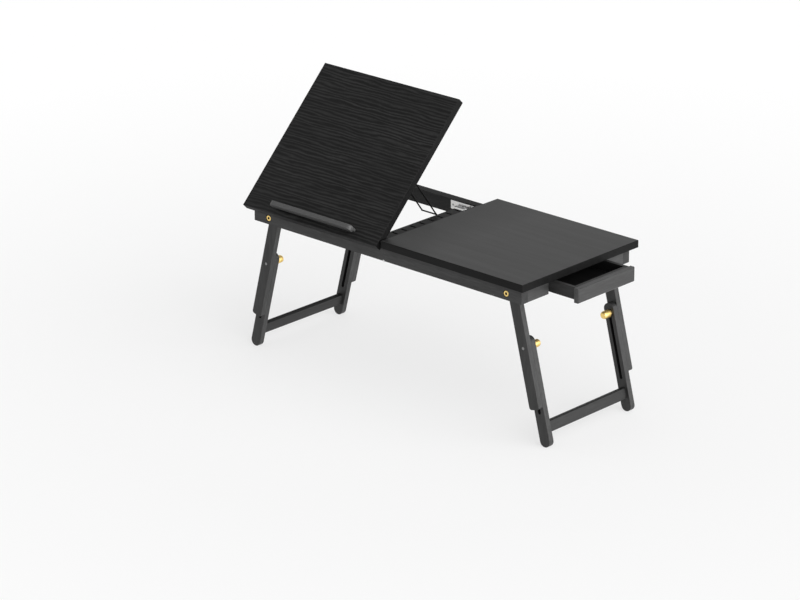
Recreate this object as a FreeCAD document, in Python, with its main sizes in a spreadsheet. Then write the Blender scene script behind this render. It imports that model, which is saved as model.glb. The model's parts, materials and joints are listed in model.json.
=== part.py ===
# Folding bed table: two wooden halves joined by fold hinges under the seam.
# The left half carries a tilting reading panel on a wire prop with a notched board,
# the right half a fixed top with a drawer that opens at the end. Each end stands on
# a pair of two-slat legs, which slide in each other, are clamped by brass knobs and
# fold flat under the rails.
#
# Millimetres. X runs along the table, Y from the front to the back, Z up from the floor.
# Every piece is drawn from the fold line and the rails' middle line, and then placed so that
# the origin lies on the floor under the middle of the whole table.
import FreeCAD, Part
import os
import re

V = FreeCAD.Vector
direction = {"x": V(1, 0, 0), "y": V(0, 1, 0), "z": V(0, 0, 1)}
left, right = -1, 1
front, back = -1, 1
side_name = {left: "left", right: "right"}
face_name = {front: "front", back: "back"}

sizes = {
    # The whole table: where the fold line and the middle line lie, and its overall sizes
    "fold_line_x": -14.5,
    "mid_line_y": 7.8,
    "half_long": 366,
    "table_deep": 340,
    "table_high": 334,
    "top_thick": 15,
    "rail_high": 30.5,
    "rail_thick": 18,
    "side_lip": 12,
    "end_lip": 12.5,
    "edge_round": 1.5,
    # Clearances: between the halves, of shafts in bores, round turning parts, of sliding faces
    "fold_gap": 0.2,
    "run_gap": 0.05,
    "turn_gap": 0.3,
    "face_gap": 0.2,
    # Tilt panel and its hinges
    "tilt": 45.4,
    "top_gap": 4,
    "panel_gap": 1.5,
    "panel_lift": 0.25,
    "hinge_out": 3,
    "hinge_spread": 120,
    "hinge_long": 50,
    "hinge_leaf": 16,
    "leaf_thick": 1,
    "knuckle_r": 2.25,
    "pin_r": 1.1,
    # Book stop on the panel
    "stop_place": 177,
    "stop_long": 220,
    "stop_back": 10.5,
    "stop_thick": 10,
    "stop_high": 21,
    "stop_round": 9,
    "undercut_high": 6.5,
    "undercut_deep": 4,
    # Notched board and wire prop
    "board_thick": 4.5,
    "board_start": 6,
    "board_wide": 42,
    "corner_wide": 22,
    "corner_start": 99.5,
    "notch_wide": 4.5,
    "notch_deep": 15,
    "notch_inset": 6,
    "notch_first": -88.5,
    "notch_step": 26,
    "notch_count": 8,
    "prop_notch": 5,
    "prop_ahead": 2,
    "prop_place": 61,
    "prop_wide": 38,
    "prop_seat": 164,
    "prop_depth": 2,
    "prop_lift": 2.4,
    "prop_stub": 9,
    "wire_r": 1.5,
    "recess_deep": 4.5,
    "recess_room": 3,
    "clip_long": 6,
    "clip_wide": 10,
    # Legs
    "splay": 14.4,
    "leg_inset": 39,
    "leg_rise": 12.5,
    "slat_wide": 24,
    "slat_thick": 12,
    "slat_gap": 0.5,
    "slip_gap": 0.3,
    "upper_long": 233,
    "upper_round": 5,
    "clamp_reach": 112,
    "lower_top": 92,
    "slot_wide": 6.5,
    "slot_top": 108.75,
    "slot_end": 245,
    "stretcher_reach": 273,
    "stretcher_wide": 22,
    "stretcher_thick": 12,
    "stretcher_edge": 1,
    # Bolts and knobs
    "bolt_r": 3,
    "bolt_end": 0.4,
    "head_r": 5.75,
    "head_thick": 3.4,
    "sink_r": 7,
    "sink_deep": 4,
    "socket_r": 2.9,
    "socket_deep": 2,
    "knob_r": 7.8,
    "knob_long": 21,
    "knob_edge": 1.6,
    "knob_wall": 4,
    # Fold hinges
    "fold_drop": 0.2,
    "fold_leaf": 16,
    "fold_leaf_high": 28,
    "fold_pin_r": 1.2,
    # Drawer
    "drawer_out": 64.5,
    "opening_wide": 160,
    "front_over": 3,
    "front_thick": 11.6,
    "front_edge": 2,
    "front_low": 0.1,
    "front_top": 1,
    "drawer_long": 188.5,
    "drawer_wall": 8,
    "drawer_floor": 4,
    "drawer_gap": 1,
    "drawer_rise": 0.3,
    "drawer_top": 1.5,
    "runner_gap": 0.5,
    "runner_thick": 9,
    "runner_past": 3,
    "ledge_thick": 4,
    "ledge_deep": 7,
    "ledge_low": 0.4,
    # Latch at the seam of the back rails
    "latch_start": 27,
    "latch_long": 67,
    "latch_low": 9.5,
    "latch_high": 18,
    "latch_thick": 1.5,
    "bolt_place": 5.5,
    "slide_r": 2.5,
    "slide_start": 5,
    "slide_long": 72,
    "slide_gap": 0.08,
    "grip_r": 2,
    "grip_place": 20,
    "grip_long": 9,
    "strap_long": 6,
    "strap_wall": 1.6,
    "strap_inset": 1,
    "strap_step": 14,
    "keeper_start": 6,
    "keeper_long": 10,
}

doc = FreeCAD.newDocument("folding_bed_table")
sheet = doc.addObject("Spreadsheet::Sheet", "Sizes")
for row, (alias, value) in enumerate(sizes.items(), start=1):
    sheet.set(f"A{row}", alias)
    sheet.set(f"B{row}", str(value))
    sheet.setAlias(f"B{row}", alias)
doc.recompute()

pieces = []


# A rule is a formula in the sheet's aliases. Its names are turned into cell references.
def cells(rule):
    return re.sub(r"[a-z_]+", lambda word: "<<Sizes>>." + word[0] if word[0] in sizes else word[0], rule)


def bind(thing, name, rule):
    thing.setExpression(name, cells(rule))


# A stretch from low to high, or its mirror image on the negative side
def mirror(side, low, high):
    return (low, high) if side > 0 else (f"0 - ({high})", f"0 - ({low})")


def signed(side, rule):
    return f"({rule})" if side > 0 else f"(0 - ({rule}))"


def centred(length):
    return f"0 - ({length}) / 2", f"({length}) / 2"


# A new piece: a body whose own frame is placed by rules and may be turned about an axis
def new_body(label, base, axis="x", angle=None):
    body = doc.addObject("PartDesign::Body", label)
    body.Label = label
    if angle:
        body.Placement = FreeCAD.Placement(V(), FreeCAD.Rotation(direction[axis], 1))
        bind(body, "Placement.Rotation.Angle", angle)
    for name, shift_by, rule in zip("xyz", ("fold_line_x", "mid_line_y", "0"), base):
        bind(body, "Placement.Base." + name, f"{shift_by} + {rule}")
    pieces.append(body)
    return body


def block(body, xs, ys, zs, cut=False):
    kind = "PartDesign::SubtractiveBox" if cut else "PartDesign::AdditiveBox"
    box = body.newObject(kind, "block")
    for name, place, (low, high) in zip(("Length", "Width", "Height"), "xyz", (xs, ys, zs)):
        bind(box, name, f"({high}) - ({low})")
        bind(box, "Placement.Base." + place, low)
    return box


# A round bar or bore along an axis; centre gives its other two coordinates
def rod(body, axis, stretch, centre, radius, cut=False):
    kind = "PartDesign::SubtractiveCylinder" if cut else "PartDesign::AdditiveCylinder"
    bar = body.newObject(kind, "rod")
    bar.Placement = FreeCAD.Placement(V(), FreeCAD.Rotation(direction["z"], direction[axis]))
    low, high = stretch
    base = list(centre)
    base.insert("xyz".index(axis), low)
    for name, rule in zip("xyz", base):
        bind(bar, "Placement.Base." + name, rule)
    bind(bar, "Radius", radius)
    bind(bar, "Height", f"({high}) - ({low})")
    return bar


# A bar of the slot's shape down the Z axis, its rounding centred at high and low
def rounded_bar(body, high, low, radius, ys, cut=False):
    block(body, (f"0 - {radius}", radius), ys, (low, high), cut)
    for end in (high, low):
        rod(body, "y", ys, ("0", end), radius, cut)


# Rounds or bevels the edges that pass a test on their two ends
def soften(body, kind, size, wanted):
    doc.recompute()
    base = body.Tip
    names = [f"Edge{index}" for index, edge in enumerate(base.Shape.Edges, start=1) if wanted(edge)]
    edge_work = body.newObject("PartDesign::" + kind, "edges")
    edge_work.Base = (base, names)
    bind(edge_work, "Radius" if kind == "Fillet" else "Size", size)
    return edge_work


def runs_along(edge, axis):
    if edge.Curve.TypeId != "Part::GeomLine":
        return False
    return abs(abs(edge.tangentAt(edge.FirstParameter).dot(direction[axis])) - 1) < 1e-6


# An outer edge lies beyond its body's middle along an axis, or before it where side is -1
def is_outer_edge(edge, body, axis, side=1):
    away = edge.CenterOfMass - body.Tip.Shape.BoundBox.Center
    return not runs_along(edge, axis) and side * away.dot(direction[axis]) > 0


# Places that several pieces share
rail_top = "(table_high - top_thick)"
rail_low = f"({rail_top} - rail_high)"
rail_out = "(table_deep / 2 - side_lip)"
rail_in = f"({rail_out} - rail_thick)"
rail_mid = f"({rail_out} - rail_thick / 2)"
end_out = "(half_long - end_lip)"
end_in = f"({end_out} - rail_thick)"
seam = "(fold_gap / 2)"
leg_x = f"({end_out} - leg_inset)"
leg_z = f"({rail_low} + leg_rise)"
upper_out = f"({rail_in} - slat_gap)"
upper_in = f"({upper_out} - slat_thick)"
lower_out = f"({upper_in} - slip_gap)"
lower_in = f"({lower_out} - slat_thick)"
foot_reach = f"(({leg_z} - slat_wide / 2) / cos(splay))"
hinge_y = f"({rail_out} + hinge_out)"
hinge_z = f"({rail_top} + panel_lift)"
fold_z = f"({rail_low} - fold_drop)"
bore_r = "(bolt_r + run_gap)"
round_room = "(knuckle_r + turn_gap)"

# The prop's pivot on the tilted panel, its foot over its notch, and the wire between them
prop_y = f"(prop_seat * cos(tilt) - prop_depth * sin(tilt) - {hinge_y})"
prop_z = f"(prop_seat * sin(tilt) + prop_depth * cos(tilt) + {hinge_z})"
foot_y = "(notch_first + notch_step * prop_notch - prop_ahead)"
foot_z = f"({rail_top} + prop_lift + wire_r)"
prop_run = f"({foot_y} - {prop_y})"
prop_fall = f"({prop_z} - {foot_z})"
prop_long = f"sqrt({prop_run} * {prop_run} + {prop_fall} * {prop_fall})"
prop_angle = f"atan((0 - {prop_fall}) / {prop_run})"

table = ("0", "0", "0")


def leg_frame(side, middle_y):
    return signed(side, leg_x), middle_y, leg_z


def leg_angle(side):
    return "splay" if side == left else "0 - splay"


# The hinge leaves' knuckles share a length in three parts: the outer two and the middle one
def knuckle_parts(length, owner):
    sixth = f"({length}) / 6"
    if owner == "outer":
        return [(f"0 - 3 * {sixth}", f"0 - {sixth}"), (sixth, f"3 * {sixth}")]
    return [(f"0 - {sixth}", sixth)]


def shrink(stretch, gap):
    return f"{stretch[0]} + {gap}", f"{stretch[1]} - {gap}"


def shift(stretch, by):
    return f"{by} + {stretch[0]}", f"{by} + {stretch[1]}"


# The frame's front and back rails, one of each half
def make_side_rail(side, face):
    rail = new_body(f"{side_name[side]}_{face_name[face]}_rail", table)
    across = mirror(face, rail_in, rail_out)
    block(rail, mirror(side, seam, end_out), across, (rail_low, rail_top))
    # The pivot bolt's bore, and the sinking for its head in the outer face
    bolt_at = (signed(side, leg_x), leg_z)
    rod(rail, "y", mirror(face, f"{rail_in} - 1", f"{rail_out} + 1"), bolt_at, bore_r, cut=True)
    sinking = mirror(face, f"{rail_out} - sink_deep", f"{rail_out} + 1")
    rod(rail, "y", sinking, bolt_at, "sink_r", cut=True)
    # The fold hinge's seat in the end face, and room for its barrel at the lower corner
    leaf_y = shift(centred("fold_leaf"), signed(face, rail_mid))
    leaf_x = mirror(side, "0", f"{seam} + leaf_thick")
    block(rail, leaf_x, leaf_y, (f"{rail_low} - 1", f"{fold_z} + fold_leaf_high"), cut=True)
    rod(rail, "y", shift(across, "0"), ("0", fold_z), round_room, cut=True)
    if (side, face) == (left, front):
        for place in hinge_places:
            leaf_x = shift(centred("hinge_long"), place)
            leaf_y = (f"0 - {hinge_y}", f"hinge_leaf - {hinge_y}")
            block(rail, leaf_x, leaf_y, (f"{rail_top} - leaf_thick", f"{rail_top} + 1"), cut=True)
    if (side, face) == (left, back):
        block(rail, latch_x, (f"{rail_in} - 1", f"{rail_in} + latch_thick"), latch_z, cut=True)
    return rail


hinge_places = ["0 - half_long / 2 - hinge_spread", "0 - half_long / 2 + hinge_spread"]
hinge_names = ["outer", "inner"]
latch_x = ("0 - latch_start - latch_long", "0 - latch_start")
latch_z = (f"{rail_low} + latch_low", f"{rail_low} + latch_low + latch_high")
slide_y = f"({rail_in} - bolt_place)"
slide_z = f"({rail_low} + latch_low + latch_high / 2)"

for side in (left, right):
    for face in (front, back):
        make_side_rail(side, face)

# The end rails: whole on the left, in two pieces beside the drawer on the right
end_rail = new_body("left_end_rail", table)
block(end_rail, mirror(left, end_in, end_out), mirror(front, f"0 - {rail_in}", rail_in), (rail_low, rail_top))
for face in (front, back):
    piece = new_body(f"right_{face_name[face]}_end_rail", table)
    block(piece, (end_in, end_out), mirror(face, "opening_wide / 2", rail_in), (rail_low, rail_top))

# The fixed top, with rounded edges all round its upper face
fixed_top = new_body("fixed_top", table)
block(fixed_top, ("top_gap", "half_long"), centred("table_deep"), (rail_top, "table_high"))
soften(fixed_top, "Fillet", "edge_round", lambda edge: is_outer_edge(edge, fixed_top, "z"))

# The tilt panel, drawn shut: its hinge line is the frame's X axis and its underside lies on Z = 0
panel_base = ("0", f"0 - {hinge_y}", hinge_z)
panel_front = "(hinge_out - side_lip)"


def panel_piece(label):
    return new_body(label, panel_base, "x", "tilt")


panel = panel_piece("tilt_panel")
panel_x = ("0 - half_long", "0 - panel_gap")
block(panel, panel_x, (panel_front, f"{panel_front} + table_deep"), ("0", "top_thick"))
soften(panel, "Fillet", "edge_round", lambda edge: is_outer_edge(edge, panel, "z"))
recess_half = "(prop_wide / 2 + prop_stub + recess_room)"
recess_x = (f"0 - prop_place - {recess_half}", f"{recess_half} - prop_place")
recess_y = ("prop_seat - clip_wide / 2 - recess_room", f"prop_seat + {prop_long} + wire_r + recess_room")
block(panel, recess_x, recess_y, ("0 - 1", "recess_deep"), cut=True)
for place in hinge_places:
    leaf_x = shift(centred("hinge_long"), place)
    block(panel, leaf_x, ("0", "hinge_leaf"), ("0 - 1", "leaf_thick"), cut=True)
    rod(panel, "x", (f"{leaf_x[0]} - turn_gap", f"{leaf_x[1]} + turn_gap"), ("0", "0"), round_room, cut=True)

# The book stop: a strip with rounded upper corners and an undercut along its front
stop = panel_piece("book_stop")
stop_x = shift(centred("stop_long"), "0 - stop_place")
stop_y = (f"{panel_front} + stop_back", f"{panel_front} + stop_back + stop_thick")
block(stop, stop_x, stop_y, ("top_thick", "top_thick + stop_high"))
soften(stop, "Fillet", "stop_round", lambda edge: runs_along(edge, "y") and is_outer_edge(edge, stop, "z"))
undercut_y = (f"{stop_y[0]} - 1", f"{stop_y[0]} + undercut_deep")
undercut_z = ("top_thick - 1", "top_thick + undercut_high")
block(stop, (f"{stop_x[0]} - 1", f"{stop_x[1]} + 1"), undercut_y, undercut_z, cut=True)

# The panel's butt hinges. The rail's leaf carries the pin, the panel's leaf turns on it.
for name, place in zip(hinge_names, hinge_places):
    rail_leaf = new_body(f"{name}_hinge_rail_leaf", (place, f"0 - {hinge_y}", hinge_z))
    plate_z = ("0 - panel_lift - leaf_thick", "0 - panel_lift")
    block(rail_leaf, centred("hinge_long"), ("0", "hinge_leaf"), plate_z)
    for part in knuckle_parts("hinge_long", "middle"):
        block(rail_leaf, part, ("0 - 1", round_room), (f"{plate_z[0]} - 1", "1"), cut=True)
    for part in knuckle_parts("hinge_long", "outer"):
        rod(rail_leaf, "x", part, ("0", "0"), "knuckle_r")
    rod(rail_leaf, "x", centred("hinge_long - 1"), ("0", "0"), "pin_r")

    panel_leaf = panel_piece(f"{name}_hinge_panel_leaf")
    leaf_x = shift(centred("hinge_long"), place)
    block(panel_leaf, leaf_x, ("0", "hinge_leaf"), ("0", "leaf_thick"))
    for part in knuckle_parts("hinge_long", "outer"):
        block(panel_leaf, shift(part, place), ("0 - 1", round_room), ("0 - 1", "leaf_thick + 1"), cut=True)
    for part in knuckle_parts("hinge_long", "middle"):
        rod(panel_leaf, "x", shrink(shift(part, place), "face_gap"), ("0", "0"), "knuckle_r")
    rod(panel_leaf, "x", leaf_x, ("0", "0"), "pin_r + run_gap", cut=True)

# The board that the prop stands on, with a row of slots for its foot and a corner cut off for the latch
board = new_body("notched_board", table)
board_x = ("0 - board_start - board_wide", "0 - board_start")
block(board, board_x, centred(f"2 * {rail_in}"), (f"{rail_top} - board_thick", rail_top))
corner_x = (f"{board_x[0]} - 1", f"{board_x[0]} + corner_wide")
board_through = (f"{rail_top} - board_thick - 1", f"{rail_top} + 1")
block(board, corner_x, ("corner_start", f"{rail_in} + 1"), board_through, cut=True)
notch_x = (f"{board_x[0]} + notch_inset", f"{board_x[0]} + notch_inset + notch_deep")
notch_y = shift(centred("notch_wide"), "notch_first")
notch = block(board, notch_x, notch_y, board_through, cut=True)
notches = board.newObject("PartDesign::LinearPattern", "notches")
notches.Originals = [notch]
notches.Direction = (next(item for item in board.Origin.OriginFeatures if item.Role == "Y_Axis"), [""])
bind(notches, "Length", "notch_step * (notch_count - 1)")
bind(notches, "Occurrences", "notch_count")
board.Tip = notches

# The prop: a U of wire whose out-turned ends sit in two clips on the panel
prop = new_body("wire_prop", ("0 - prop_place", prop_y, prop_z), "x", prop_angle)
wire_half = "(prop_wide / 2)"
stub_end = f"({wire_half} + prop_stub)"
wire_runs = [
    ("x", mirror(left, f"{wire_half} - wire_r", stub_end), ("0", "0")),
    ("y", ("0", prop_long), (signed(left, wire_half), "0")),
    ("x", centred("prop_wide + 2 * wire_r"), (prop_long, "0")),
    ("y", ("0", prop_long), (wire_half, "0")),
    ("x", (f"{wire_half} - wire_r", stub_end), ("0", "0")),
]
for axis, stretch, centre in wire_runs:
    rod(prop, axis, stretch, centre, "wire_r")
for side in (left, right):
    clip = panel_piece(f"{side_name[side]}_prop_clip")
    clip_x = shift(mirror(side, f"{stub_end} - clip_long", stub_end), "0 - prop_place")
    clip_y = shift(centred("clip_wide"), "prop_seat")
    block(clip, clip_x, clip_y, ("0", "recess_deep"))
    rod(clip, "x", clip_x, ("prop_seat", "prop_depth"), "wire_r + run_gap", cut=True)

# The legs. Each slat's frame has its origin at the leg's pivot, with the slat running down Z.
for side in (left, right):
    leg = f"{side_name[side]}_leg"
    for face in (front, back):
        name = face_name[face]
        upper_mid = signed(face, f"{upper_out} - slat_thick / 2")
        upper = new_body(f"{leg}_upper_{name}", leg_frame(side, upper_mid), "y", leg_angle(side))
        through = centred("slat_thick")
        block(upper, centred("slat_wide"), through, ("0 - upper_long", "0"))
        rod(upper, "y", through, ("0", "0"), "slat_wide / 2")
        soften(upper, "Fillet", "upper_round",
               lambda edge: runs_along(edge, "y") and is_outer_edge(edge, upper, "z", -1))
        for reach in ("0", "0 - clamp_reach"):
            rod(upper, "y", centred("slat_thick + 2"), ("0", reach), bore_r, cut=True)

        lower_mid = signed(face, f"{lower_out} - slat_thick / 2")
        lower = new_body(f"{leg}_lower_{name}", leg_frame(side, lower_mid), "y", leg_angle(side))
        lower_high = "0 - lower_top - slat_wide / 2"
        rounded_bar(lower, lower_high, f"0 - {foot_reach}", "slat_wide / 2", through)
        slot_high, slot_low = "0 - slot_top - slot_wide / 2", "0 - slot_end + slot_wide / 2"
        rounded_bar(lower, slot_high, slot_low, "slot_wide / 2", centred("slat_thick + 2"), cut=True)

    stretcher = new_body(f"{leg}_stretcher", leg_frame(side, "0"), "y", leg_angle(side))
    stretcher_z = shift(centred("stretcher_wide"), "0 - stretcher_reach")
    block(stretcher, centred("stretcher_thick"), centred(f"2 * {lower_in}"), stretcher_z)
    soften(stretcher, "Chamfer", "stretcher_edge", lambda edge: runs_along(edge, "y"))

# The legs' bolts and knobs, round about lines along Y
for side in (left, right):
    leg = f"{side_name[side]}_leg"
    pivot_at = (signed(side, leg_x), "0", leg_z)
    clamp_x = f"{leg_x} + clamp_reach * sin(splay)"
    clamp_at = (signed(side, clamp_x), "0", f"{leg_z} - clamp_reach * cos(splay)")
    for face in (front, back):
        name = face_name[face]
        pivot_bolt = new_body(f"{leg}_pivot_bolt_{name}", pivot_at)
        seat = f"({rail_out} - sink_deep)"
        rod(pivot_bolt, "y", mirror(face, f"{upper_in} + bolt_end", f"{seat} + 1"), ("0", "0"), "bolt_r")
        rod(pivot_bolt, "y", mirror(face, seat, f"{seat} + head_thick"), ("0", "0"), "head_r")
        socket = pivot_bolt.newObject("PartDesign::SubtractivePrism", "socket")
        socket.Polygon = 6
        socket.Placement = FreeCAD.Placement(V(), FreeCAD.Rotation(direction["z"], direction["y"]))
        bind(socket, "Circumradius", "socket_r")
        bind(socket, "Height", "socket_deep + 1")
        bind(socket, "Placement.Base.y", mirror(face, f"{seat} + head_thick - socket_deep",
                                                f"{seat} + head_thick + 1")[0])

        clamp_bolt = new_body(f"{leg}_clamp_bolt_{name}", clamp_at)
        inner_end = f"({lower_in} - knob_long + knob_wall + 1)"
        rod(clamp_bolt, "y", mirror(face, inner_end, upper_out), ("0", "0"), "bolt_r")

        knob = new_body(f"{leg}_knob_{name}", clamp_at)
        knob_face = f"({lower_in} - face_gap)"
        knob_end = f"({knob_face} - knob_long)"
        rod(knob, "y", mirror(face, knob_end, knob_face), ("0", "0"), "knob_r")
        soften(knob, "Chamfer", "knob_edge", lambda edge: is_outer_edge(edge, knob, "y", -face))
        bore = mirror(face, f"{knob_end} + knob_wall", f"{knob_face} + 1")
        rod(knob, "y", bore, ("0", "0"), bore_r, cut=True)

# The fold hinges between the rails' end faces: a leaf on each, and a pin that both turn on
for face in (front, back):
    name = face_name[face]
    fold_base = ("0", signed(face, rail_mid), fold_z)
    owners = {left: "outer", right: "middle"}
    for side in (left, right):
        leaf = new_body(f"{side_name[side]}_fold_leaf_{name}", fold_base)
        block(leaf, mirror(side, seam, f"{seam} + leaf_thick"), centred("fold_leaf"), ("0", "fold_leaf_high"))
        for part in knuckle_parts("fold_leaf", owners[-side]):
            block(leaf, mirror(side, "0", f"{seam} + leaf_thick + 1"), part, ("0 - 1", round_room), cut=True)
        for part in knuckle_parts("fold_leaf", owners[side]):
            gap = "face_gap" if side == right else "0"
            rod(leaf, "y", shrink(part, gap), ("0", "0"), "knuckle_r")
        rod(leaf, "y", centred("fold_leaf + 2"), ("0", "0"), "fold_pin_r + run_gap", cut=True)
    pin = new_body(f"fold_pin_{name}", fold_base)
    rod(pin, "y", centred("fold_leaf"), ("0", "0"), "fold_pin_r")

# The drawer, pulled out as far as drawer_out. Its box runs on two ledged runners.
drawer_x = f"({end_out} + drawer_out)"
box_half = "(opening_wide / 2 - drawer_gap)"
box_inside = f"({box_half} - drawer_wall)"
box_low = f"({rail_low} + ledge_low + ledge_thick + drawer_rise)"
box_top = f"({rail_top} - drawer_top)"
box_end = f"({drawer_x} - drawer_long)"
front_half = "(opening_wide / 2 + front_over)"
front_board = new_body("drawer_front", table)
front_x = (drawer_x, f"{drawer_x} + front_thick")
front_z = (f"{rail_low} + front_low", f"{rail_top} - front_top")
block(front_board, front_x, centred(f"2 * {front_half}"), front_z)

soften(front_board, "Chamfer", "front_edge", lambda edge: is_outer_edge(edge, front_board, "x"))
for face in (front, back):
    wall = new_body(f"drawer_{face_name[face]}_side", table)
    block(wall, (box_end, drawer_x), mirror(face, box_inside, box_half), (box_low, box_top))
floor = new_body("drawer_floor", table)
block(floor, (box_end, drawer_x), centred(f"2 * {box_inside}"), (box_low, f"{box_low} + drawer_floor"))
for name, wall_x in (("drawer_inner_front", (f"{drawer_x} - drawer_wall", drawer_x)),
                     ("drawer_inner_end", (box_end, f"{box_end} + drawer_wall"))):
    wall = new_body(name, table)
    block(wall, wall_x, centred(f"2 * {box_inside}"), (f"{box_low} + drawer_floor", box_top))
ledge_low_z = f"({rail_low} + ledge_low)"
for face in (front, back):
    runner = new_body(f"drawer_{face_name[face]}_runner", table)
    runner_x = (f"{end_out} - drawer_long - runner_past", end_in)
    web = f"({box_half} + runner_gap)"
    block(runner, runner_x, mirror(face, web, f"{web} + runner_thick"), (ledge_low_z, rail_top))
    ledge_z = (ledge_low_z, f"{ledge_low_z} + ledge_thick")
    block(runner, runner_x, mirror(face, f"{web} - ledge_deep", web), ledge_z)

# The latch: a plate sunk in the left back rail, two straps on it, the sliding bolt and its keeper
plate = new_body("latch_plate", table)
block(plate, latch_x, (rail_in, f"{rail_in} + latch_thick"), latch_z)
strap_r = "(slide_r + slide_gap + strap_wall)"
strap_y = (f"{slide_y} - {strap_r}", rail_in)
strap_z = (f"{slide_z} - {strap_r}", f"{slide_z} + {strap_r}")
for step in ("0", "strap_step"):
    strap_end = f"(0 - latch_start - strap_inset - {step})"
    strap_x = (f"{strap_end} - strap_long", strap_end)
    block(plate, strap_x, strap_y, strap_z)
slide_x = ("0 - slide_start - slide_long", "0 - slide_start")
rod(plate, "x", slide_x, (slide_y, slide_z), "slide_r + slide_gap", cut=True)

slide = new_body("latch_bolt", table)
rod(slide, "x", slide_x, (slide_y, slide_z), "slide_r")
rod(slide, "z", (f"{slide_z} - grip_long", slide_z), ("0 - grip_place", slide_y), "grip_r")

keeper = new_body("latch_keeper", table)
keeper_x = ("keeper_start", "keeper_start + keeper_long")
block(keeper, keeper_x, strap_y, strap_z)
rod(keeper, "x", keeper_x, (slide_y, slide_z), "slide_r + slide_gap", cut=True)

doc.recompute()
for item in doc.Objects:
    if {"Invalid", "Error"} & set(item.State):
        raise RuntimeError(f"{item.Name} failed: {item.getStatusString()}")
for piece in pieces:
    if piece.Shape.isNull() or not piece.Shape.isValid() or len(piece.Shape.Solids) != 1:
        raise RuntimeError(f"{piece.Label} is not one sound solid")

os.makedirs("parts", exist_ok=True)
for piece in pieces:
    piece.Shape.exportStep(f"parts/{piece.Label}.step")
print(len(pieces), "pieces")
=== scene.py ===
# A black-stained folding bed table, photographed on a white studio floor.
# Metres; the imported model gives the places, and every piece rides on one of its bodies.
import json
import math
import bmesh
import bpy
from mathutils import Matrix, Vector


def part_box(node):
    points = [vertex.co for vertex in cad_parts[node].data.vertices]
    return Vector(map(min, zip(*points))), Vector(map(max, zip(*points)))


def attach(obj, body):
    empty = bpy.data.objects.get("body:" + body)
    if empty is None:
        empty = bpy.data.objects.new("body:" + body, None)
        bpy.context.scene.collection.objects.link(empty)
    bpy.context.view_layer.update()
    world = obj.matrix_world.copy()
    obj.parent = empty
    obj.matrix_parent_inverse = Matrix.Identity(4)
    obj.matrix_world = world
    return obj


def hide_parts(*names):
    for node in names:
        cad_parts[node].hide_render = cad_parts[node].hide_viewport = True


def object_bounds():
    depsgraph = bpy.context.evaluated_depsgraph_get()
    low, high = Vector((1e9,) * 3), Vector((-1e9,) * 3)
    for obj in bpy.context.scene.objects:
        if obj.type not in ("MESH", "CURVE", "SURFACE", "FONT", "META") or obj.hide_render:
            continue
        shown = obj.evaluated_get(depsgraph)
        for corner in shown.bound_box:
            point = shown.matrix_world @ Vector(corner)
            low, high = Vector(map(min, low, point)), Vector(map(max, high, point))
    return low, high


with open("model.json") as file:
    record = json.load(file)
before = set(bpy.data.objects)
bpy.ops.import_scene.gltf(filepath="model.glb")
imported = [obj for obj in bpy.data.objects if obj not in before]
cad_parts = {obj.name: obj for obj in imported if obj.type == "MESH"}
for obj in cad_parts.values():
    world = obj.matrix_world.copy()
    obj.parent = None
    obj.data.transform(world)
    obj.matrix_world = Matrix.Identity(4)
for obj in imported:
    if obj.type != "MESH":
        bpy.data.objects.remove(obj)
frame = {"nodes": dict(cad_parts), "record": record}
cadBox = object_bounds()
scene = bpy.context.scene
mm = 0.001
behaviour = frame["record"]["behaviour"]
bodyOfNode = {node: body for body, nodes in behaviour["bodies"].items() for node in nodes}
print("stage: frame loaded")


# Camera, fitted to the photograph's straight edges
cameraSet = {
    "lens": 152.43,
    "sensor": 36.0,
    "aim": (-0.0809, -0.0325, 0.1579),
    "yaw": 43.0,
    "pitch": 20.77,
    "roll": -0.15,
    "distance": 6.7192,
}


def placeCamera():
    yaw = math.radians(cameraSet["yaw"])
    pitch = math.radians(cameraSet["pitch"])
    back = Vector((math.sin(yaw) * math.cos(pitch), -math.cos(yaw) * math.cos(pitch), math.sin(pitch)))
    data = bpy.data.cameras.new("studioCamera")
    data.sensor_fit = "HORIZONTAL"
    data.sensor_width = cameraSet["sensor"]
    data.lens = cameraSet["lens"]
    data.clip_end = 100.0
    camera = bpy.data.objects.new("studioCamera", data)
    scene.collection.objects.link(camera)
    turn = back.to_track_quat("Z", "Y").to_matrix().to_4x4()
    roll = Matrix.Rotation(math.radians(cameraSet["roll"]), 4, "Z")
    place = Vector(cameraSet["aim"]) + back * cameraSet["distance"]
    camera.matrix_world = Matrix.Translation(place) @ turn @ roll
    scene.camera = camera


placeCamera()


# Node helpers
evenly = (1.0, 1.0, 1.0)


def newMaterial(name):
    material = bpy.data.materials.new(name)
    material.use_nodes = True
    tree = material.node_tree
    shader = next(node for node in tree.nodes if node.type == "BSDF_PRINCIPLED")
    return material, tree, shader


def addNode(tree, kind, **values):
    node = tree.nodes.new(kind)
    for name, value in values.items():
        if hasattr(node, name):
            setattr(node, name, value)
        else:
            node.inputs[name].default_value = value
    return node


def objectPattern(tree, stretch):
    place = addNode(tree, "ShaderNodeTexCoord")
    mapping = addNode(tree, "ShaderNodeMapping", Scale=stretch)
    tree.links.new(place.outputs["Object"], mapping.inputs["Vector"])
    return mapping.outputs["Vector"]


def noise(tree, vector, scale, detail, roughness=0.55, distortion=0.0):
    node = addNode(tree, "ShaderNodeTexNoise", Scale=scale, Detail=detail,
                   Roughness=roughness, Distortion=distortion)
    tree.links.new(vector, node.inputs["Vector"])
    return node.outputs["Fac"]


def ramp(tree, factor, stops, blend="LINEAR"):
    node = tree.nodes.new("ShaderNodeValToRGB")
    node.color_ramp.interpolation = blend
    elements = node.color_ramp.elements
    stops = list(stops)
    while len(elements) < len(stops):
        elements.new(0.5)
    for element, (position, tone) in zip(elements, stops):
        element.position = position
        element.color = (*tone, 1.0) if hasattr(tone, "__len__") else (tone, tone, tone, 1.0)
    tree.links.new(factor, node.inputs["Fac"])
    return node.outputs["Color"]


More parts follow.
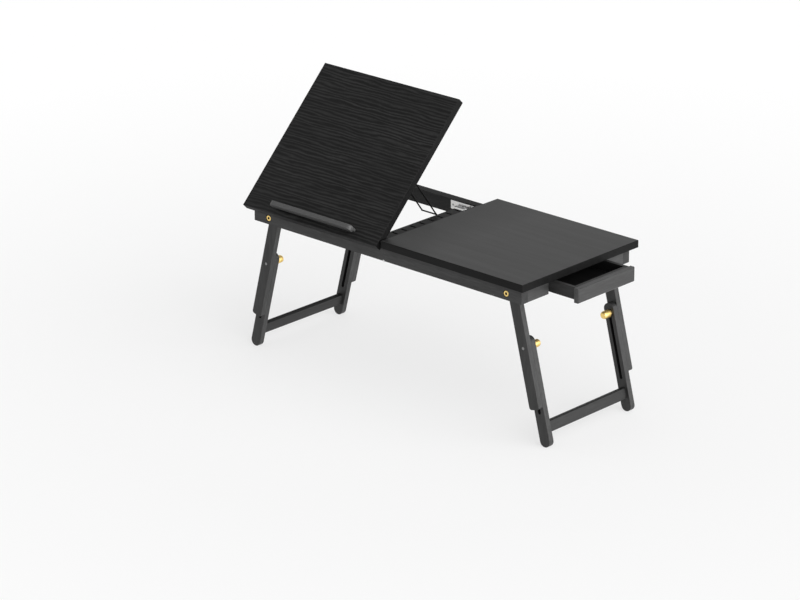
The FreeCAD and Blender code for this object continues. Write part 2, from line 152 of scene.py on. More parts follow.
def mixTones(tree, mode, amount, first, second):
    node = addNode(tree, "ShaderNodeMix", data_type="RGBA", blend_type=mode)
    if hasattr(amount, "is_output"):
        tree.links.new(amount, node.inputs[0])
    else:
        node.inputs[0].default_value = amount
    tree.links.new(first, node.inputs[6])
    tree.links.new(second, node.inputs[7])
    return node.outputs[2]


def setGloss(tree, shader, pattern, smooth, rough):
    gloss = addNode(tree, "ShaderNodeMapRange")
    gloss.inputs["To Min"].default_value = smooth
    gloss.inputs["To Max"].default_value = rough
    tree.links.new(pattern, gloss.inputs["Value"])
    tree.links.new(gloss.outputs["Result"], shader.inputs["Roughness"])


def addBump(tree, shader, height, strength, distance):
    bump = addNode(tree, "ShaderNodeBump", Strength=strength, Distance=distance)
    tree.links.new(height, bump.inputs["Height"])
    last = shader.inputs["Normal"].links
    if last:
        tree.links.new(last[0].from_socket, bump.inputs["Normal"])
    tree.links.new(bump.outputs["Normal"], shader.inputs["Normal"])


# Black-stained wood: stretched grain, fine pores and a satin coat that is a little uneven.
# Each finish: darkest tone, lightest tone, streak, roughness, specular level, grain axis.
woodTones = {
    "panelWood": (0.0058, 0.0105, 0.7, 0.52, 0.2, "x"),
    "topWood": (0.031, 0.041, 0.74, 0.48, 0.22, "x"),
    "edgeBand": (0.004, 0.007, 0.6, 0.52, 0.11, "x"),
    "railWood": (0.024, 0.04, 0.4, 0.46, 0.28, "x"),
    "crossWood": (0.0135, 0.022, 0.5, 0.46, 0.34, "y"),
    "frontWood": (0.036, 0.053, 0.5, 0.44, 0.38, "y"),
    "legWood": (0.018, 0.03, 0.45, 0.46, 0.32, "z"),
    # Lighter copy of the slats' finish: painted light on their side faces
    "slatSideLight": (0.028, 0.045, 0.45, 0.44, 0.36, "z"),
    "stopWood": (0.055, 0.065, 0.9, 0.45, 0.4, "x"),
    "drawerWood": (0.017, 0.027, 0.45, 0.5, 0.28, "x"),
    "boardWood": (0.005, 0.009, 0.5, 0.55, 0.13, "y"),
    # Darker copy of the rail finish: painted shade on the rails' inner faces
    "railInnerShade": (0.012, 0.022, 0.6, 0.55, 0.18, "x"),
    # Darker copy used as painted shade on the tops' undersides and on the rails' and stretchers' upper
    # faces
    "paintedShadeWood": (0.006, 0.012, 0.6, 0.6, 0.14, "x"),
    # Near-black: the drawer's inner faces, and painted shade in the slats' slots and along the latch
    # plate's edge
    "nearBlackWood": (0.003, 0.005, 0.8, 0.8, 0.08, "x"),
}

# Each noise: scale, detail, roughness, distortion. Stops are where a ramp starts and ends.
grainSet = {
    "x": (3.0, 46.0, 46.0),
    "y": (46.0, 3.0, 46.0),
    "z": (46.0, 46.0, 3.0),
    "broad": (1.6, 3.0, 0.5, 0.6),
    "broadStops": (0.3, 0.72),
    "fine": (11.0, 6.0, 0.62, 0.15),
    "fineStops": (0.34, 0.62),
    "streakShare": 0.8,
    "smoother": 0.05,
    "rougher": 0.07,
    "bump": 0.12,
    "depth": 0.0004,
}

# The reading panel's veneer is textured: short ripples run across it and catch the light
rippleSet = {
    "stretch": (9.0, 69.0, 69.0),
    "waveScale": 0.95,
    "distortion": 7.5,
    "detail": 3.0,
    "detailScale": 1.3,
    "patches": (0.5, 2.0, 0.55, 0.0),
    "flecks": (2.6, 3.0, 0.6, 0.4),
    "bands": [(0.28, 0.22), (0.5, 0.93), (0.74, 2.05)],
    "bump": 0.3,
    "depth": 0.0007,
}

# Painted shade on the fixed top: its colour darkens towards the seam beside the panel, along X
seamShade = {"start": -0.02, "end": 0.12, "tone": 0.42}


def addRipple(tree, shader, colour):
    vector = objectPattern(tree, rippleSet["stretch"])
    waves = addNode(tree, "ShaderNodeTexWave", Scale=rippleSet["waveScale"],
                    Distortion=rippleSet["distortion"], Detail=rippleSet["detail"])
    waves.bands_direction = "Z"
    waves.inputs["Detail Scale"].default_value = rippleSet["detailScale"]
    tree.links.new(vector, waves.inputs["Vector"])
    patches = noise(tree, vector, *rippleSet["patches"])
    flecks = noise(tree, vector, *rippleSet["flecks"])
    waved = mixTones(tree, "MIX", patches, waves.outputs["Fac"], flecks)
    addBump(tree, shader, waved, rippleSet["bump"], rippleSet["depth"])
    return mixTones(tree, "MULTIPLY", 1.0, colour, ramp(tree, waved, rippleSet["bands"]))


# Darkens the fixed top's colour towards the seam: painted shade
def addSeamShade(tree, colour):
    split = addNode(tree, "ShaderNodeSeparateXYZ")
    tree.links.new(objectPattern(tree, evenly), split.inputs["Vector"])
    reach = addNode(tree, "ShaderNodeMapRange")
    reach.inputs["From Min"].default_value = seamShade["start"]
    reach.inputs["From Max"].default_value = seamShade["end"]
    tree.links.new(split.outputs["X"], reach.inputs["Value"])
    shade = ramp(tree, reach.outputs["Result"], [(0.0, seamShade["tone"]), (1.0, 1.0)])
    return mixTones(tree, "MULTIPLY", 1.0, colour, shade)


def makeWood(name):
    dark, light, streak, roughness, specular, along = woodTones[name]
    material, tree, shader = newMaterial(name)
    vector = objectPattern(tree, grainSet[along])
    broad = noise(tree, vector, *grainSet["broad"])
    fine = noise(tree, vector, *grainSet["fine"])
    tone = ramp(tree, broad, zip(grainSet["broadStops"], (dark, light)))
    streaks = ramp(tree, fine, zip(grainSet["fineStops"], (streak, 1.0)))
    colour = mixTones(tree, "MULTIPLY", grainSet["streakShare"], tone, streaks)
    if name == "panelWood":
        colour = addRipple(tree, shader, colour)
    if name == "topWood":
        colour = addSeamShade(tree, colour)
    tree.links.new(colour, shader.inputs["Base Color"])
    setGloss(tree, shader, fine, roughness - grainSet["smoother"], roughness + grainSet["rougher"])
    shader.inputs["Specular IOR Level"].default_value = specular
    addBump(tree, shader, fine, grainSet["bump"], grainSet["depth"])
    return material


# Brass of the knobs and pivot bolts: a cloudy warm tone with fine turning marks round Y
brassSet = {
    "shade": (0.86, 0.61, 0.2),
    "light": (0.93, 0.7, 0.28),
    "cloudScale": 90.0,
    "cloudStops": (0.3, 0.75),
    "turning": (4.0, 900.0, 4.0),
    "smooth": 0.38,
    "rough": 0.52,
    "bump": 0.08,
    "depth": 0.0002,
}


def makeBrass(name):
    material, tree, shader = newMaterial(name)
    cloud = noise(tree, objectPattern(tree, evenly), brassSet["cloudScale"], 3.0)
    turned = noise(tree, objectPattern(tree, brassSet["turning"]), 1.0, 2.0)
    colour = ramp(tree, cloud, zip(brassSet["cloudStops"], (brassSet["shade"], brassSet["light"])))
    tree.links.new(colour, shader.inputs["Base Color"])
    shader.inputs["Metallic"].default_value = 1.0
    setGloss(tree, shader, turned, brassSet["smooth"], brassSet["rough"])
    addBump(tree, shader, turned, brassSet["bump"], brassSet["depth"])
    return material


# Steel, brushed along X. Each finish: lightest tone, roughness.
steelSet = {
    "brushedSteel": (0.8, 0.3),
    "boltSteel": (0.27, 0.45),
    "brushing": (30.0, 700.0, 700.0),
    "brushStops": (0.25, 0.75),
    "shade": 0.86,
    "smoother": 0.06,
    "rougher": 0.08,
    "bump": 0.1,
    "depth": 0.0001,
}


def makeSteel(name):
    light, roughness = steelSet[name]
    material, tree, shader = newMaterial(name)
    brushed = noise(tree, objectPattern(tree, steelSet["brushing"]), 1.0, 3.0)
    colour = ramp(tree, brushed, zip(steelSet["brushStops"], (light * steelSet["shade"], light)))
    tree.links.new(colour, shader.inputs["Base Color"])
    shader.inputs["Metallic"].default_value = 1.0
    setGloss(tree, shader, brushed, roughness - steelSet["smoother"], roughness + steelSet["rougher"])
    addBump(tree, shader, brushed, steelSet["bump"], steelSet["depth"])
    return material


# Speckled dark coat of the wire, and the same speckled dark as painted shade in the hollows. Each finish:
# tone, roughness, specular level.
coatSet = {
    "darkWire": (0.005, 0.6, 0.03),
    "hollowShade": (0.02, 0.7, 0.1),
    "speckleScale": 420.0,
    "speckleStops": (0.3, 0.7),
    "shade": 0.7,
    "smoother": 0.06,
    "rougher": 0.1,
    "bump": 0.15,
    "depth": 0.0001,
}


def makeCoated(name):
    tone, roughness, specular = coatSet[name]
    material, tree, shader = newMaterial(name)
    speckle = noise(tree, objectPattern(tree, evenly), coatSet["speckleScale"], 2.0)
    colour = ramp(tree, speckle, zip(coatSet["speckleStops"], (tone * coatSet["shade"], tone)))
    tree.links.new(colour, shader.inputs["Base Color"])
    setGloss(tree, shader, speckle, roughness - coatSet["smoother"], roughness + coatSet["rougher"])
    shader.inputs["Specular IOR Level"].default_value = specular
    addBump(tree, shader, speckle, coatSet["bump"], coatSet["depth"])
    return material


materials = {name: makeWood(name) for name in woodTones}
materials["brass"] = makeBrass("warmBrass")
materials["steel"] = makeSteel("brushedSteel")
materials["boltSteel"] = makeSteel("boltSteel")
materials["darkWire"] = makeCoated("darkWire")
materials["hollowShade"] = makeCoated("hollowShade")
print("stage: materials made")


# Finish of each CAD node: its material, and its edge rounding in millimetres. A node named in
# full comes first, and otherwise the first word that its name holds decides.
finishByName = {
    "drawer_front": ("frontWood", 0.6),
    "left_end_rail": ("frontWood", 0.6),
    "right_front_end_rail": ("frontWood", 0.6),
    "right_back_end_rail": ("frontWood", 0.6),
}
finishByWord = {
    "tilt_panel": ("panelWood", 0.0),
    "fixed_top": ("topWood", 0.0),
    "book_stop": ("stopWood", 1.4),
    "knob": ("brass", 0.0),
    "pivot_bolt": ("brass", 0.5),
    "clamp_bolt": ("boltSteel", 0.4),
    "leaf": ("steel", 0.0),
    "latch": ("steel", 0.0),
    "pin": ("steel", 0.0),
    "wire_prop": ("darkWire", 0.0),
    "prop_clip": ("darkWire", 0.4),
    "stretcher": ("crossWood", 0.0),
    "leg": ("legWood", 1.0),
    "drawer": ("drawerWood", 0.6),
    "notched_board": ("boardWood", 0.4),
    "rail": ("railWood", 0.9),
}


def finishOf(node):
    if node in finishByName:
        return finishByName[node]
    return next(finish for word, finish in finishByWord.items() if word in node)


def middleOf(node):
    low, high = (Vector(corner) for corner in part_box(node))
    return (low + high) / 2


# What the painted faces are found by: sizes in millimetres, and how much of a face's normal
# has to lie along an axis for the face to look that way
paintSet = {
    "sinkRadius": 7.4,
    "boreRadius": 3.1,
    "slotHalfWide": 4.5,
    "slotHalfLong": 105.0,
    "drawerRise": 12.0,
    "drawerInset": 2.0,
    "square": 0.9,
    "fairlySquare": 0.8,
    "slanted": 0.5,
}
square, fairlySquare, slanted = (paintSet[name] for name in ("square", "fairlySquare", "slanted"))
drawerBox = ("drawer_front_side", "drawer_back_side", "drawer_floor", "drawer_inner_front",
             "drawer_inner_end")
drawerMiddle = middleOf("drawer_floor") + Vector((0, 0, paintSet["drawerRise"] * mm))
cadMiddle = (Vector(cadBox[0]) + Vector(cadBox[1])) / 2
legLean = next(Vector(joint["axis"]) for joint in behaviour["joints"]
               if joint["name"] == "left_leg_height")


# A wall of the long slot in a slat: near its middle line, and not one of its rounded ends
def inSlot(face, middle, lean):
    offset = face.center - middle
    along = offset.dot(lean)
    aside = (Vector((offset.x, 0.0, offset.z)) - lean * along).length
    near = aside < paintSet["slotHalfWide"] * mm and abs(along) < paintSet["slotHalfLong"] * mm
    return near and abs(face.normal.y) < slanted


# How far a face reaches from an axis that runs along Y
def reachOf(mesh, face, axis):
    corners = (mesh.vertices[index].co for index in face.vertices)
    return max(math.hypot(corner.x - axis.x, corner.z - axis.z) for corner in corners)


# A face of the drawer's box that looks into its room
def facesInto(face):
    if face.normal.z > square:
        return face.center.z < drawerMiddle.z
    inset = face.normal.dot(drawerMiddle - face.center)
    return abs(face.normal.z) < slanted and inset > paintSet["drawerInset"] * mm


# Faces that differ from the rest of their piece: the dark bands round the two tops; painted shade on
# the tops' undersides, the rails' inner and upper faces, the stretchers' upper faces, the book stop's
# lower faces and in the sinks, bores and slots; painted light on the slats' side faces; and the
# drawer's near-black inner faces. "own" is the piece's own finish.
def paintFaces(mesh, node):
    middle = middleOf(node)
    if node in ("tilt_panel", "fixed_top"):
        # The undersides take a darker finish: painted shade
        finishes = {"side": "edgeBand", "under": "paintedShadeWood"}
        upper = max((face for face in mesh.polygons if face.normal.z > slanted), key=lambda face: face.area)
        up = upper.normal.copy()

        def partOf(face):
            rise = face.normal.dot(up)
            return "own" if rise > fairlySquare else "under" if rise < -fairlySquare else "side"
    elif node.endswith("_rail") and "end" not in node:
        # The inner and upper faces take darker finishes, and the sink round the bolt is darkened: painted
        # shade
        finishes = {"inner": "railInnerShade", "upper": "paintedShadeWood", "hole": "hollowShade"}
        inward = -1.0 if middle.y > cadMiddle.y else 1.0
        half, side = node.split("_")[:2]
        bolt = middleOf(f"{half}_leg_pivot_bolt_{side}")

        def partOf(face):
            if reachOf(mesh, face, bolt) < paintSet["sinkRadius"] * mm:
                return "hole"
            if face.normal.y * inward > square:
                return "inner"
            return "upper" if face.normal.z > square else "own"
    elif "pivot_bolt" in node:
        # The bore is darkened: painted shade
        finishes = {"hole": "hollowShade"}

        def partOf(face):
            return "hole" if reachOf(mesh, face, middle) < paintSet["boreRadius"] * mm else "own"
    elif "stretcher" in node:
        # The upper faces take a darker finish: painted shade
        finishes = {"upper": "paintedShadeWood"}

        def partOf(face):
            return "upper" if face.normal.z > fairlySquare else "own"
    elif node == "book_stop":
        # The lower sloping faces take the darker rail finish: painted shade under the stop
        finishes = {"under": "railWood"}

        def partOf(face):
            return "under" if face.normal.y < -slanted and face.normal.z < -slanted else "own"
    elif "leg_upper" in node or "leg_lower" in node:
        # The slots' walls are darkened: painted shade
        finishes = {"slot": "nearBlackWood", "edge": "slatSideLight"}
        lean = Vector((-legLean.x if "right" in node else legLean.x, 0.0, legLean.z))

        def partOf(face):
            if inSlot(face, middle, lean):
                return "slot"
            # The side faces take a lighter finish: painted light
            return "edge" if abs(face.normal.x) > fairlySquare else "own"
    elif node in drawerBox:
        finishes = {"inner": "nearBlackWood"}

        def partOf(face):
            return "inner" if facesInto(face) else "own"
    else:
        return
    slots = {"own": 0}
    for part, name in finishes.items():
        slots[part] = len(mesh.materials)
        mesh.materials.append(materials[name])
    for face in mesh.polygons:
        face.material_index = slots[partOf(face)]


# How a dressed copy is made: distance in metres, angles in degrees
dressSet = {
    "mergeWithin": 2e-6,
    "flatAngle": 0.6,
    "smoothAngle": 32,
    "bevelAngle": 40,
    "bevelSegments": 3,
}


# A clean copy of a CAD node's mesh, with its loose triangles merged into whole faces
def copyNode(work, node):
    work.from_mesh(frame["nodes"][node].data)
    bmesh.ops.remove_doubles(work, verts=work.verts, dist=dressSet["mergeWithin"])
    flat = math.radians(dressSet["flatAngle"])
    bmesh.ops.dissolve_limit(work, angle_limit=flat, verts=work.verts, edges=work.edges)


# A turned brass knob in the place of the CAD one: neck, round body, domed end and blind bore
knobSet = {
    "neckRadius": 6.3,
    "neckLong": 1.8,
    "shoulder": 1.2,
    "dome": 5.5,
    "fullness": 0.6,
    "boreRadius": 3.3,
    "boreShort": 4.0,
    "sides": 40,
    "domeSteps": 10,
    "shoulderSteps": 4,
}


# Half of a knob's outline, as pairs of distance from the axis and distance along it
def knobOutline(long, radius):
    neck, bore = knobSet["neckRadius"], knobSet["boreRadius"]
    floor = long - knobSet["boreShort"]
    outline = [(0, floor), (bore, floor), (bore, 0), (neck, 0), (neck, knobSet["neckLong"])]
    for step in range(knobSet["shoulderSteps"] + 1):
        turn = math.pi / 2 * step / knobSet["shoulderSteps"]
        outline.append((radius - knobSet["shoulder"] * (1 - math.sin(turn)),
                        knobSet["neckLong"] + knobSet["shoulder"] * (1 - math.cos(turn))))
    for step in range(knobSet["domeSteps"] + 1):
        turn = math.pi / 2 * step / knobSet["domeSteps"]
        outline.append((radius * math.cos(turn) ** knobSet["fullness"],
                        long - knobSet["dome"] * (1 - math.sin(turn))))
    outline[-1] = (0, long)
    return outline


def turnKnob(work, node):
    low, high = (Vector(corner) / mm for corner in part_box(node))
    long = high.y - low.y
    radius = (high.z - low.z) / 2
    middle = (low + high) / 2
    outward = 1 if "front" in node else -1
    start = middle.y - outward * long / 2
    rings = []
    for reach, along in knobOutline(long, radius):
        count = knobSet["sides"] if reach else 1
        ring = []
        for index in range(count):
            angle = 2 * math.pi * index / count
            spot = Vector((middle.x + reach * math.cos(angle), start + outward * along,
                           middle.z + reach * math.sin(angle)))
            ring.append(work.verts.new(spot * mm))
        rings.append(ring)
    for first, second in zip(rings, rings[1:]):
        for index in range(knobSet["sides"]):
            corners = [first[index % len(first)], first[(index + 1) % len(first)],
                       second[(index + 1) % len(second)], second[index % len(second)]]
            work.faces.new(list(dict.fromkeys(corners)))
    bmesh.ops.recalc_face_normals(work, faces=work.faces)


# The dressed piece that stands for a CAD node, with softened edges
def dressNode(node):
    finish, edge = finishOf(node)
    mesh = bpy.data.meshes.new(node + "Dressed")
    work = bmesh.new()
    if "knob" in node:
        turnKnob(work, node)
    else:
        copyNode(work, node)
    for face in work.faces:
        face.smooth = True
    work.to_mesh(mesh)
    work.free()
    mesh.set_sharp_from_angle(angle=math.radians(dressSet["smoothAngle"]))
    piece = bpy.data.objects.new(node + "Dressed", mesh)
    scene.collection.objects.link(piece)
    mesh.materials.clear()
    mesh.materials.append(materials[finish])
    paintFaces(mesh, node)
    if edge:
        bevel = piece.modifiers.new("softEdges", "BEVEL")
        bevel.width = edge * mm
        bevel.segments = dressSet["bevelSegments"]
        bevel.limit_method = "ANGLE"
        bevel.angle_limit = math.radians(dressSet["bevelAngle"])
        bevel.harden_normals = True
    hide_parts(node)
    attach(piece, bodyOfNode[node])


for nodeName in frame["nodes"]:
    dressNode(nodeName)
print("stage: nodes dressed")


# A thin near-black strip beside and below the latch plate: painted shadow along the edge of the seat that
# the plate is let into, in millimetres
latchShadowStrip = {"wide": 2.2, "thick": 0.3}


def makeLatchShadowStrip():
    low, high = (Vector(corner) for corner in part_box("latch_plate"))
    wide = latchShadowStrip["wide"] * mm
    thick = latchShadowStrip["thick"] * mm
    outline = [(low.x - wide, high.z), (low.x - wide, low.z - wide), (high.x, low.z - wide),
               (high.x, low.z), (low.x, low.z), (low.x, high.z)]
    work = bmesh.new()
    corners = [work.verts.new((x, high.y, z)) for x, z in outline]
    back = work.faces.new(corners)
    front = bmesh.ops.extrude_face_region(work, geom=[back])["geom"]
    for corner in front:
        if isinstance(corner, bmesh.types.BMVert):
            corner.co.y -= thick
    bmesh.ops.recalc_face_normals(work, faces=work.faces)
    mesh = bpy.data.meshes.new("latchShadowStrip")
    work.to_mesh(mesh)
    work.free()
    mesh.materials.append(materials["nearBlackWood"])
    shadowStrip = bpy.data.objects.new("latchShadowStrip", mesh)
    scene.collection.objects.link(shadowStrip)
    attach(shadowStrip, bodyOfNode["latch_plate"])


makeLatchShadowStrip()


# Countersunk cross-head screws, made by Geometry Nodes on marked points, in millimetres
screwSet = {
    "headRadius": 2.1,
    "headHeight": 0.9,
    "crossLong": 2.5,
    "crossWide": 0.55,
    "crossDeep": 0.5,
    "headTaper": 0.5,
    "headSides": 24,
    "proud": 0.04,
    "leastFace": 2.0,
    "sameWay": 0.99,
}
screwInputs = {
    "Head Radius": "headRadius",
    "Head Height": "headHeight",
    "Cross Long": "crossLong",
    "Cross Wide": "crossWide",
    "Cross Deep": "crossDeep",
}

# Each node with screws: the way its face looks, and the screws' places as shares of its two sides
hingeShares = [(0.14, 0.66), (0.5, 0.72), (0.86, 0.66)]
screwSpots = [
    ("latch_plate", (0, -1, 0), [(0.09, 0.5), (0.47, 0.5)]),
    ("outer_hinge_rail_leaf", (0, 0, 1), hingeShares),
    ("inner_hinge_rail_leaf", (0, 0, 1), hingeShares),
    ("outer_hinge_panel_leaf", "under", hingeShares),
    ("inner_hinge_panel_leaf", "under", hingeShares),
    ("drawer_front_runner", (0, 0, -1), [(0.08, 0.72), (0.5, 0.72), (0.92, 0.72)]),
    ("drawer_back_runner", (0, 0, -1), [(0.08, 0.28), (0.5, 0.28), (0.92, 0.28)]),
    ("notched_board", (0, 0, -1), [(0.75, 0.03), (0.75, 0.97)]),
]


def makeScrewTree():
    tree = bpy.data.node_groups.new("screwHeads", "GeometryNodeTree")
    sockets = tree.interface
    sockets.new_socket("Geometry", in_out="INPUT", socket_type="NodeSocketGeometry")
    for name in screwInputs:
        sockets.new_socket(name, in_out="INPUT", socket_type="NodeSocketFloat")
    sockets.new_socket("Finish", in_out="INPUT", socket_type="NodeSocketMaterial")
    sockets.new_socket("Geometry", in_out="OUTPUT", socket_type="NodeSocketGeometry")
    inward = tree.nodes.new("NodeGroupInput")
    outward = tree.nodes.new("NodeGroupOutput")
    link = tree.links.new
    head = addNode(tree, "GeometryNodeMeshCone", Vertices=screwSet["headSides"])
    narrow = addNode(tree, "ShaderNodeMath", operation="MULTIPLY")
    narrow.inputs[1].default_value = screwSet["headTaper"]
    link(inward.outputs["Head Radius"], narrow.inputs[0])
    link(inward.outputs["Head Radius"], head.inputs["Radius Top"])
    link(narrow.outputs["Value"], head.inputs["Radius Bottom"])
    link(inward.outputs["Head Height"], head.inputs["Depth"])
    cross = tree.nodes.new("GeometryNodeJoinGeometry")
    for turn in (0.0, math.pi / 2):
        size = tree.nodes.new("ShaderNodeCombineXYZ")
        link(inward.outputs["Cross Long"], size.inputs["X"])
        link(inward.outputs["Cross Wide"], size.inputs["Y"])
        link(inward.outputs["Cross Deep"], size.inputs["Z"])
        bar = tree.nodes.new("GeometryNodeMeshCube")
        link(size.outputs["Vector"], bar.inputs["Size"])
        lift = tree.nodes.new("ShaderNodeCombineXYZ")
        link(inward.outputs["Head Height"], lift.inputs["Z"])
        place = addNode(tree, "GeometryNodeTransform", Rotation=(0.0, 0.0, turn))
        link(bar.outputs["Mesh"], place.inputs["Geometry"])
        link(lift.outputs["Vector"], place.inputs["Translation"])
        link(place.outputs["Geometry"], cross.inputs["Geometry"])
    cut = addNode(tree, "GeometryNodeMeshBoolean", operation="DIFFERENCE")
    link(head.outputs["Mesh"], cut.inputs["Mesh 1"])
    link(cross.outputs["Geometry"], cut.inputs["Mesh 2"])
    facing = addNode(tree, "GeometryNodeInputNamedAttribute", data_type="FLOAT_VECTOR", Name="facing")
    align = addNode(tree, "FunctionNodeAlignRotationToVector", axis="Z")
    link(facing.outputs["Attribute"], align.inputs["Vector"])
    copies = tree.nodes.new("GeometryNodeInstanceOnPoints")
    link(inward.outputs["Geometry"], copies.inputs["Points"])
    link(cut.outputs["Mesh"], copies.inputs["Instance"])
    link(align.outputs["Rotation"], copies.inputs["Rotation"])
    real = tree.nodes.new("GeometryNodeRealizeInstances")
    link(copies.outputs["Instances"], real.inputs["Geometry"])
    dress = tree.nodes.new("GeometryNodeSetMaterial")
    link(real.outputs["Geometry"], dress.inputs["Geometry"])
    link(inward.outputs["Finish"], dress.inputs["Material"])
    link(dress.outputs["Geometry"], outward.inputs["Geometry"])
    return tree


# The screws' places on a node, each with the way its head looks. The box of all its faces that
# look that way gives the shares, and the outermost of them that isn't tiny gives the height.
def spotsOn(node, facing, shares):
    mesh = frame["nodes"][node].data
    if facing == "under":
        panel = frame["nodes"]["tilt_panel"].data
        facing = -max(panel.polygons, key=lambda face: face.normal.z * face.area).normal
    facing = Vector(facing).normalized()
    faces = [face for face in mesh.polygons if face.normal.dot(facing) > screwSet["sameWay"]]
    corners = [mesh.vertices[index].co for face in faces for index in face.vertices]
    level = max(mesh.vertices[index].co.dot(facing) for face in faces
                if face.area > screwSet["leastFace"] * mm * mm for index in face.vertices)
    if node == "latch_plate":  # its straps stand above the plate
        level = min(corner.dot(facing) for corner in corners)
    across = Vector((1, 0, 0))
    along = facing.cross(across) if abs(facing.y) < square else Vector((0, 0, 1))
    along = along if along.dot(Vector((0, 1, 1))) > 0 else -along
    sides = []
    for axis in (across, along):
        reach = [corner.dot(axis) for corner in corners]
        sides.append((min(reach), max(reach)))
    (left, right), (near, far) = sides
    spots = []
    for u, v in shares:
        place = across * (left + u * (right - left)) + along * (near + v * (far - near)) + facing * level
        spots.append((place, facing))
    return spots


def makeScrews():
    tree = makeScrewTree()
    names = {item.name: item.identifier for item in tree.interface.items_tree if item.in_out == "INPUT"}
    spots = {}
    for node, facing, shares in screwSpots:
        spots.setdefault(bodyOfNode[node], []).extend(spotsOn(node, facing, shares))
    sink = (screwSet["headHeight"] - screwSet["proud"]) * mm
    for body, marks in spots.items():
        points = bpy.data.meshes.new("screwPoints")
        points.from_pydata([place - facing * sink for place, facing in marks], [], [])
        turns = points.attributes.new("facing", "FLOAT_VECTOR", "POINT")
        for index, (place, facing) in enumerate(marks):
            turns.data[index].vector = facing
        holder = bpy.data.objects.new("screwPoints", points)
        scene.collection.objects.link(holder)
        nodes = holder.modifiers.new("screwHeads", "NODES")
        nodes.node_group = tree
        for label, key in screwInputs.items():
            nodes[names[label]] = screwSet[key] * mm
        nodes[names["Finish"]] = materials["boltSteel"]
        ready = bpy.context.evaluated_depsgraph_get()
        mesh = bpy.data.meshes.new_from_object(holder.evaluated_get(ready), depsgraph=ready)
        bpy.data.objects.remove(holder)
        piece = bpy.data.objects.new(body + "Screws", mesh)
        scene.collection.objects.link(piece)
        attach(piece, body)


makeScrews()
print("stage: screws set")


# White studio: a pale floor that the camera and the metal see brighter, a white backdrop for the
# camera alone, and an open sky with a broad low softbox on the right. Distances are in metres.
# Heights in the sky go from 0 at the horizon to 1 overhead, and the softbox's edge and core are
# cosines of the angle from its middle.
stageSet = {
    # The floor's colour is darker near the middle than far off: painted shade round the table
    "floor": 0.8,
    "floorFar": 0.95,
    "fadeStart": 0.7,
    "fadeEnd": 2.2,
    "floorRoughness": 0.9,
    "floorSpecular": 0.1,
    "lift": 0.6,
    "floorSize": 60.0,
    "horizon": 0.95,
    "middle": 0.45,
    "zenith": 0.55,
    "horizonTop": 0.36,
    "middleHeight": 0.62,
    "softbox": 5.0,
    "softboxFrom": (1.0, -0.12, 0.2),
    "softboxEdge": 0.55,
    "softboxCore": 0.9,
}


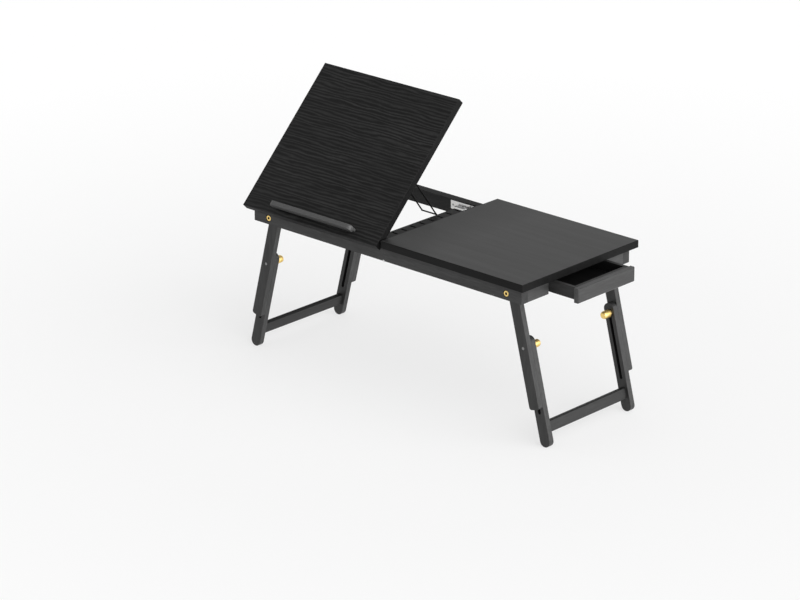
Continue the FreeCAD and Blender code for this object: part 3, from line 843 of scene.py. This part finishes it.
def makeFloor():
    material, tree, shader = newMaterial("studioFloor")
    place = addNode(tree, "ShaderNodeTexCoord")
    # The floor's colour fades from darker near the middle to paler far off: painted shade round the table
    reach = addNode(tree, "ShaderNodeVectorMath", operation="LENGTH")
    tree.links.new(place.outputs["Object"], reach.inputs[0])
    fade = addNode(tree, "ShaderNodeMapRange")
    fade.inputs["From Min"].default_value = stageSet["fadeStart"]
    fade.inputs["From Max"].default_value = stageSet["fadeEnd"]
    tree.links.new(reach.outputs["Value"], fade.inputs["Value"])
    colour = ramp(tree, fade.outputs["Result"], [(0.0, stageSet["floor"]), (1.0, stageSet["floorFar"])])
    tree.links.new(colour, shader.inputs["Base Color"])
    shader.inputs["Roughness"].default_value = stageSet["floorRoughness"]
    shader.inputs["Specular IOR Level"].default_value = stageSet["floorSpecular"]
    glow = addNode(tree, "ShaderNodeEmission", Strength=1.0)
    path = addNode(tree, "ShaderNodeLightPath")
    seen = path.outputs["Is Camera Ray"]
    for ray in ("Is Glossy Ray", "Is Transmission Ray"):
        either = addNode(tree, "ShaderNodeMath", operation="MAXIMUM")
        tree.links.new(seen, either.inputs[0])
        tree.links.new(path.outputs[ray], either.inputs[1])
        seen = either.outputs["Value"]
    share = addNode(tree, "ShaderNodeMath", operation="MULTIPLY")
    tree.links.new(seen, share.inputs[0])
    share.inputs[1].default_value = stageSet["lift"]
    mix = tree.nodes.new("ShaderNodeMixShader")
    tree.links.new(share.outputs["Value"], mix.inputs["Fac"])
    tree.links.new(shader.outputs["BSDF"], mix.inputs[1])
    tree.links.new(glow.outputs["Emission"], mix.inputs[2])
    output = next(node for node in tree.nodes if node.type == "OUTPUT_MATERIAL")
    tree.links.new(mix.outputs["Shader"], output.inputs["Surface"])
    half = stageSet["floorSize"] / 2
    corners = [(-half, -half, 0), (half, -half, 0), (half, half, 0), (-half, half, 0)]
    mesh = bpy.data.meshes.new("studioFloor")
    mesh.from_pydata(corners, [], [(0, 1, 2, 3)])
    floor = bpy.data.objects.new("studioFloor", mesh)
    mesh.materials.append(material)
    scene.collection.objects.link(floor)


def makeSky():
    world = bpy.data.worlds.new("studioSky")
    world.use_nodes = True
    scene.world = world
    tree = world.node_tree
    background = next(node for node in tree.nodes if node.type == "BACKGROUND")
    place = addNode(tree, "ShaderNodeTexCoord")
    split = addNode(tree, "ShaderNodeSeparateXYZ")
    tree.links.new(place.outputs["Generated"], split.inputs["Vector"])
    sky = ramp(tree, split.outputs["Z"], [
        (0.0, stageSet["horizon"]),
        (stageSet["horizonTop"], stageSet["horizon"]),
        (stageSet["middleHeight"], stageSet["middle"]),
        (1.0, stageSet["zenith"]),
    ])
    towards = addNode(tree, "ShaderNodeVectorMath", operation="DOT_PRODUCT")
    towards.inputs[1].default_value = Vector(stageSet["softboxFrom"]).normalized()
    tree.links.new(place.outputs["Generated"], towards.inputs[0])
    box = ramp(tree, towards.outputs["Value"],
               [(stageSet["softboxEdge"], 0.0), (stageSet["softboxCore"], 1.0)], "EASE")
    strength = addNode(tree, "ShaderNodeMath", operation="MULTIPLY_ADD")
    tree.links.new(box, strength.inputs[0])
    strength.inputs[1].default_value = stageSet["softbox"]
    strength.inputs[2].default_value = 1.0
    tree.links.new(sky, background.inputs["Color"])
    tree.links.new(strength.outputs["Value"], background.inputs["Strength"])
    backdrop = addNode(tree, "ShaderNodeBackground", Color=(1.0, 1.0, 1.0, 1.0), Strength=1.0)
    path = addNode(tree, "ShaderNodeLightPath")
    mix = tree.nodes.new("ShaderNodeMixShader")
    tree.links.new(path.outputs["Is Camera Ray"], mix.inputs["Fac"])
    tree.links.new(background.outputs["Background"], mix.inputs[1])
    tree.links.new(backdrop.outputs["Background"], mix.inputs[2])
    output = next(node for node in tree.nodes if node.type == "OUTPUT_WORLD")
    tree.links.new(mix.outputs["Shader"], output.inputs["Surface"])


makeFloor()
makeSky()
scene.view_settings.view_transform = "Standard"
print("stage: studio lit")
